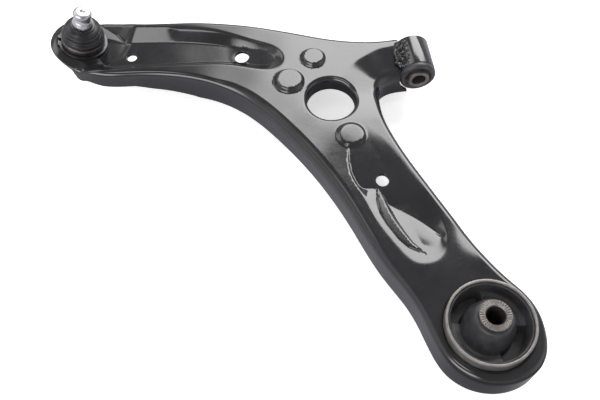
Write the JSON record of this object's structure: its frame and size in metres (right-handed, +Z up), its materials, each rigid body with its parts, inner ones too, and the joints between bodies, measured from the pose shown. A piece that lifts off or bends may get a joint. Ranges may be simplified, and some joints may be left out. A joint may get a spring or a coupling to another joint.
{
  "type": "suspension control arm",
  "caption": "L-shaped pressed steel lower control arm with a vertical-axis rear bush, a fore-and-aft front bush in a welded eye, and a press-in ball joint with rubber boot.",
  "frame": {"origin": "centre of the rear bush, midway along its inner sleeve", "axes": "+Z up along the rear bush axis, +Y forward along the arm's pivot axis and the front bush axis, +X inboard; the ball joint is at -X, outboard"},
  "size_m": [0.3722, 0.3928, 0.0794],
  "materials": {
    "arm_paint": "gloss black electrophoretic paint",
    "bush_steel": "phosphated steel, slightly brown",
    "housing_steel": "dark oiled steel",
    "stud_steel": "bright zinc plate",
    "ring_steel": "black oxide spring steel",
    "rubber": "matt natural rubber",
    "boot_rubber": "satin chloroprene rubber",
    "seat_polymer": "natural acetal"
  },
  "bodies": {
    "arm": {"arm_pressing": "arm_paint", "front_bush_tube": "arm_paint", "tube_weld_upper": "arm_paint", "tube_weld_lower": "arm_paint", "rear_bush_outer_sleeve": "bush_steel", "rear_bush_rubber": "rubber", "front_bush_outer_sleeve": "bush_steel", "front_bush_rubber": "rubber", "ball_joint_housing": "housing_steel", "ball_joint_end_cover": "housing_steel", "ball_seat": "seat_polymer", "boot_lower_ring": "ring_steel", "snap_ring": "ring_steel"},
    "rear_core": {"rear_bush_inner_sleeve": "bush_steel"},
    "front_core": {"front_bush_inner_sleeve": "bush_steel"},
    "boot_fold": {"dust_boot": "boot_rubber"},
    "boot_top": {"boot_upper_ring": "ring_steel"},
    "stud": {"ball_stud": "stud_steel"}
  },
  "joints": [
    {"name": "rear_bush_rock", "type": "hinge", "parent": "arm", "child": "rear_core", "pos_m": [0, 0, 0], "axis": [0, 1, 0], "range_deg": [-15, 15], "deforming": ["rear_bush_rubber"]},
    {"name": "front_bush_twist", "type": "hinge", "parent": "arm", "child": "front_core", "pos_m": [0, 0.264, 0], "axis": [0, 1, 0], "range_deg": [-15, 15]},
    {"name": "stud_tilt_a", "type": "hinge", "parent": "arm", "child": "boot_fold", "pos_m": [-0.3037, 0.3196, 0.0041], "axis": [0, 1, 0], "range_deg": [-20, 20], "deforming": ["dust_boot"]},
    {"name": "stud_tilt_b", "type": "hinge", "parent": "boot_fold", "child": "boot_top", "pos_m": [-0.3037, 0.3196, 0.0041], "axis": [0.9744, 0, -0.225], "range_deg": [-20, 20]},
    {"name": "stud_spin", "type": "hinge", "parent": "boot_top", "child": "stud", "pos_m": [-0.3037, 0.3196, 0.0041], "axis": [0.225, 0, 0.9744], "continuous": true}
  ],
  "couplings": [
    {"joint": "front_bush_twist", "follows": "rear_bush_rock", "ratio": 1}
  ]
}
